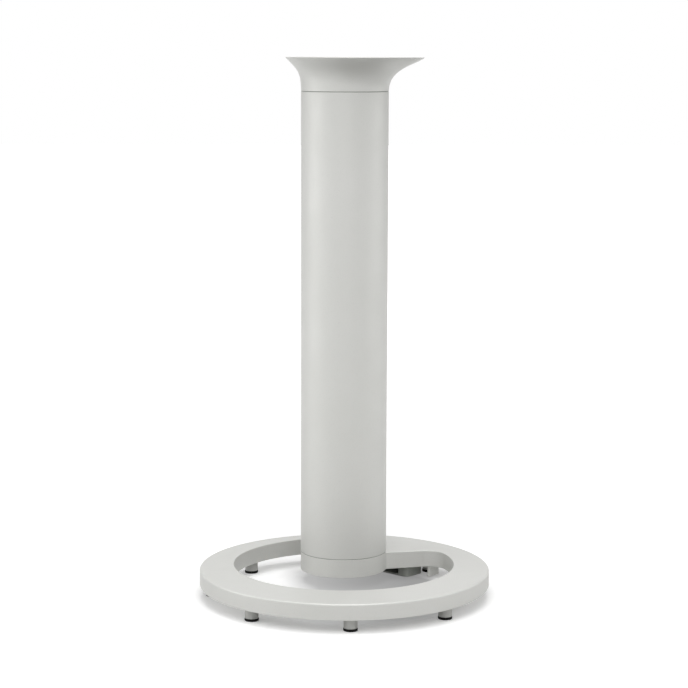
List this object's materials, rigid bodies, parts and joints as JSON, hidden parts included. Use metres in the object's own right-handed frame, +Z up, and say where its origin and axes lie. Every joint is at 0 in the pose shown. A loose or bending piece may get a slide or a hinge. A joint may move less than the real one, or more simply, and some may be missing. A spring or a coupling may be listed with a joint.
{
  "type": "speaker stand",
  "caption": "Floor stand for a loudspeaker: a ring-shaped foot plate on short pillars, a thick round column near its back and a flared cradle on top with a lined dish.",
  "frame": {"origin": "on the floor, below the centre of the foot plate's rim", "axes": "+Z up; +Y from the plate's open front towards the column; +X to the right as seen from the front"},
  "size_m": [0.35, 0.35, 0.6466],
  "materials": {
    "paint": "satin",
    "grey_plastic": "matte",
    "steel": "brushed",
    "rubber": "matte",
    "felt": "felt"
  },
  "bodies": {
    "root": {"foot_plate": "paint", "column_tube": "paint", "lower_tube_plug": "grey_plastic", "upper_tube_plug": "grey_plastic", "cradle": "paint", "cradle_pad": "felt", "tie_rod": "steel", "lower_rod_washer": "steel", "lower_rod_nut": "steel", "upper_rod_washer": "steel", "upper_rod_nut": "steel", "lower_dowel_1": "steel", "lower_dowel_2": "steel", "upper_dowel_1": "steel", "upper_dowel_2": "steel", "foot_pillar_1": "paint", "foot_pillar_2": "paint", "foot_pillar_3": "paint", "foot_pillar_4": "paint", "foot_pillar_5": "paint", "foot_pillar_6": "paint", "foot_pillar_7": "paint", "foot_pillar_8": "paint", "foot_tread_1": "rubber", "foot_tread_2": "rubber", "foot_tread_3": "rubber", "foot_tread_4": "rubber", "foot_tread_5": "rubber", "foot_tread_6": "rubber", "foot_tread_7": "rubber", "foot_tread_8": "rubber", "foot_screw_1": "steel", "foot_screw_2": "steel", "foot_screw_3": "steel", "foot_screw_4": "steel", "foot_screw_5": "steel", "foot_screw_6": "steel", "foot_screw_7": "steel", "foot_screw_8": "steel", "cable_box": "grey_plastic", "box_screw_1": "steel", "box_screw_2": "steel", "box_screw_3": "steel", "box_screw_4": "steel", "cable_clip": "paint", "clip_screw": "steel"}
  },
  "joints": []
}
